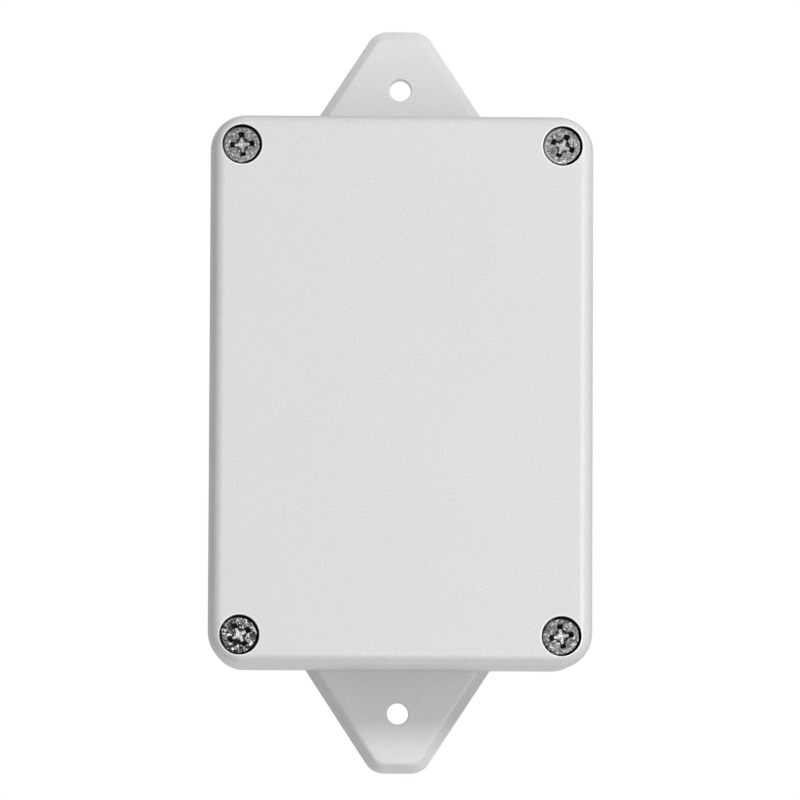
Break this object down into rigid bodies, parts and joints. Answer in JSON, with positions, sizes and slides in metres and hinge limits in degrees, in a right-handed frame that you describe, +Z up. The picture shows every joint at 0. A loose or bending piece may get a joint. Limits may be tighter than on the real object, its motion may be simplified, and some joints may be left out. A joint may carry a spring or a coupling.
{
  "type": "relay module",
  "caption": "Flanged wall box with screwed lid, holding a relay board with screw terminals, fused supply and radio control.",
  "frame": {"origin": "on the wall face, midway between the two wall fixing holes", "axes": "+Z up the wall, +Y into the wall, +X to the right as seen from the front; the lid faces -Y"},
  "size_m": [0.07, 0.03, 0.138],
  "materials": {
    "case_plastic": "fine moulded texture, pale cool grey",
    "lid_plastic": "fine moulded texture, pale cool grey",
    "zinc_steel": "zinc plated, dull",
    "nylon": "natural nylon",
    "black_rubber": "matt rubber",
    "solder_mask": "green solder mask",
    "bright_steel": "nickel plated",
    "terminal_plastic": "moulded nylon",
    "tinned_metal": "tin plated",
    "clamp_screw_steel": "zinc plated",
    "clamp_brass": "nickel washed brass",
    "black_plastic": "moulded",
    "relay_cover_plastic": "smoky clear blue",
    "bobbin_plastic": "moulded",
    "copper_wire": "enamelled copper",
    "magnet_iron": "nickel plated iron",
    "contact_bronze": "phosphor bronze",
    "contact_metal": "silver and gold plated",
    "potting_black": "potted case",
    "fuse_tube_glass": "clear glass",
    "varistor_blue": "dipped epoxy",
    "capacitor_sleeve": "shrunk sleeve",
    "component_black": "moulded epoxy",
    "ferrite": "ferrite",
    "radio_mask": "blue solder mask",
    "lamp_green": "tinted clear epoxy",
    "jumper_red": "moulded"
  },
  "bodies": {
    "base": {"case": "case_plastic", "cable_grommet": "black_rubber", "circuit_board": "solder_mask", "board_screws": "bright_steel", "supply_terminal": "terminal_plastic", "output_terminal": "terminal_plastic", "terminal_tongues": "tinned_metal", "relay_base": "black_plastic", "relay_cover": "relay_cover_plastic", "relay_bobbin": "bobbin_plastic", "relay_winding": "copper_wire", "relay_core": "magnet_iron", "relay_yoke": "magnet_iron", "relay_fixed_contacts": "contact_metal", "relay_pins": "tinned_metal", "power_module": "potting_black", "fuse_clips": "tinned_metal", "varistor": "varistor_blue", "smoothing_capacitors": "capacitor_sleeve", "diode": "component_black", "transistor": "component_black", "chip_parts": "component_black", "radio_board": "radio_mask", "radio_shield": "bright_steel", "regulator": "component_black", "inductor": "ferrite", "button_base": "black_plastic", "button_frame": "bright_steel", "status_led": "lamp_green", "jumper_header": "black_plastic", "jumper_pins": "contact_metal"},
    "cover": {"lid": "lid_plastic", "lid_gasket": "black_rubber"},
    "washer_tl": {"screw_washer_tl": "nylon"},
    "screw_tl": {"lid_screw_tl": "zinc_steel"},
    "washer_tr": {"screw_washer_tr": "nylon"},
    "screw_tr": {"lid_screw_tr": "zinc_steel"},
    "washer_bl": {"screw_washer_bl": "nylon"},
    "screw_bl": {"lid_screw_bl": "zinc_steel"},
    "washer_br": {"screw_washer_br": "nylon"},
    "screw_br": {"lid_screw_br": "zinc_steel"},
    "clamp_screw_1": {"terminal_screw_1": "clamp_screw_steel"},
    "cage_1": {"terminal_cage_1": "clamp_brass"},
    "clamp_screw_2": {"terminal_screw_2": "clamp_screw_steel"},
    "cage_2": {"terminal_cage_2": "clamp_brass"},
    "clamp_screw_3": {"terminal_screw_3": "clamp_screw_steel"},
    "cage_3": {"terminal_cage_3": "clamp_brass"},
    "clamp_screw_4": {"terminal_screw_4": "clamp_screw_steel"},
    "cage_4": {"terminal_cage_4": "clamp_brass"},
    "clamp_screw_5": {"terminal_screw_5": "clamp_screw_steel"},
    "cage_5": {"terminal_cage_5": "clamp_brass"},
    "relay_rocker": {"relay_armature": "magnet_iron", "relay_contact_spring": "contact_bronze"},
    "pair_button": {"button_plunger": "black_plastic"},
    "mode_jumper": {"jumper_cap": "jumper_red"},
    "fuse": {"fuse_glass": "fuse_tube_glass", "fuse_caps": "bright_steel"}
  },
  "joints": [
    {"name": "lid_lift", "type": "slide", "parent": "base", "child": "cover", "axis": [0, -1, 0], "range_m": [0, 0.045]},
    {"name": "screw_tl_lift", "type": "slide", "parent": "cover", "child": "washer_tl", "axis": [0, -1, 0], "range_m": [0, 0.018]},
    {"name": "screw_tl_turn", "type": "hinge", "parent": "washer_tl", "child": "screw_tl", "pos_m": [-0.02925, -0.0275, 0.04475], "axis": [0, -1, 0], "range_deg": [0, 5185]},
    {"name": "screw_tr_lift", "type": "slide", "parent": "cover", "child": "washer_tr", "axis": [0, -1, 0], "range_m": [0, 0.018]},
    {"name": "screw_tr_turn", "type": "hinge", "parent": "washer_tr", "child": "screw_tr", "pos_m": [0.02925, -0.0275, 0.04475], "axis": [0, -1, 0], "range_deg": [0, 5185]},
    {"name": "screw_bl_lift", "type": "slide", "parent": "cover", "child": "washer_bl", "axis": [0, -1, 0], "range_m": [0, 0.018]},
    {"name": "screw_bl_turn", "type": "hinge", "parent": "washer_bl", "child": "screw_bl", "pos_m": [-0.02925, -0.0275, -0.04475], "axis": [0, -1, 0], "range_deg": [0, 5185]},
    {"name": "screw_br_lift", "type": "slide", "parent": "cover", "child": "washer_br", "axis": [0, -1, 0], "range_m": [0, 0.018]},
    {"name": "screw_br_turn", "type": "hinge", "parent": "washer_br", "child": "screw_br", "pos_m": [0.02925, -0.0275, -0.04475], "axis": [0, -1, 0], "range_deg": [0, 5185]},
    {"name": "terminal_1_turn", "type": "hinge", "parent": "base", "child": "clamp_screw_1", "pos_m": [-0.01531, -0.0215, -0.0212], "axis": [0, 1, 0], "range_deg": [0, 1921]},
    {"name": "terminal_1_rise", "type": "slide", "parent": "base", "child": "cage_1", "axis": [0, -1, 0], "range_m": [0, 0.0024]},
    {"name": "terminal_2_turn", "type": "hinge", "parent": "base", "child": "clamp_screw_2", "pos_m": [-0.00769, -0.0215, -0.0212], "axis": [0, 1, 0], "range_deg": [0, 1921]},
    {"name": "terminal_2_rise", "type": "slide", "parent": "base", "child": "cage_2", "axis": [0, -1, 0], "range_m": [0, 0.0024]},
    {"name": "terminal_3_turn", "type": "hinge", "parent": "base", "child": "clamp_screw_3", "pos_m": [0.00288, -0.0215, -0.0212], "axis": [0, 1, 0], "range_deg": [0, 1921]},
    {"name": "terminal_3_rise", "type": "slide", "parent": "base", "child": "cage_3", "axis": [0, -1, 0], "range_m": [0, 0.0024]},
    {"name": "terminal_4_turn", "type": "hinge", "parent": "base", "child": "clamp_screw_4", "pos_m": [0.0105, -0.0215, -0.0212], "axis": [0, 1, 0], "range_deg": [0, 1921]},
    {"name": "terminal_4_rise", "type": "slide", "parent": "base", "child": "cage_4", "axis": [0, -1, 0], "range_m": [0, 0.0024]},
    {"name": "terminal_5_turn", "type": "hinge", "parent": "base", "child": "clamp_screw_5", "pos_m": [0.01812, -0.0215, -0.0212], "axis": [0, 1, 0], "range_deg": [0, 1921]},
    {"name": "terminal_5_rise", "type": "slide", "parent": "base", "child": "cage_5", "axis": [0, -1, 0], "range_m": [0, 0.0024]},
    {"name": "armature_rock", "type": "hinge", "parent": "base", "child": "relay_rocker", "pos_m": [0.0115, -0.0212, 0.0039], "axis": [1, 0, 0], "range_deg": [0, 2.5], "stiffness_Nm_per_rad": 0.01, "springref_deg": -5.73},
    {"name": "pair_button_press", "type": "slide", "parent": "base", "child": "pair_button", "axis": [0, 1, 0], "range_m": [0, 0.0003], "stiffness_N_per_m": 1000},
    {"name": "jumper_pull", "type": "slide", "parent": "base", "child": "mode_jumper", "axis": [0, -1, 0], "range_m": [0, 0.0065]},
    {"name": "fuse_pull", "type": "slide", "parent": "base", "child": "fuse", "axis": [0, -1, 0], "range_m": [0, 0.0115]}
  ],
  "couplings": [
    {"joint": "screw_tl_turn", "follows": "screw_tl_lift", "rad_per_m": 5026.5},
    {"joint": "screw_tr_turn", "follows": "screw_tr_lift", "rad_per_m": 5026.5},
    {"joint": "screw_bl_turn", "follows": "screw_bl_lift", "rad_per_m": 5026.5},
    {"joint": "screw_br_turn", "follows": "screw_br_lift", "rad_per_m": 5026.5},
    {"joint": "terminal_1_turn", "follows": "terminal_1_rise", "rad_per_m": 13963},
    {"joint": "terminal_2_turn", "follows": "terminal_2_rise", "rad_per_m": 13963},
    {"joint": "terminal_3_turn", "follows": "terminal_3_rise", "rad_per_m": 13963},
    {"joint": "terminal_4_turn", "follows": "terminal_4_rise", "rad_per_m": 13963},
    {"joint": "terminal_5_turn", "follows": "terminal_5_rise", "rad_per_m": 13963}
  ]
}
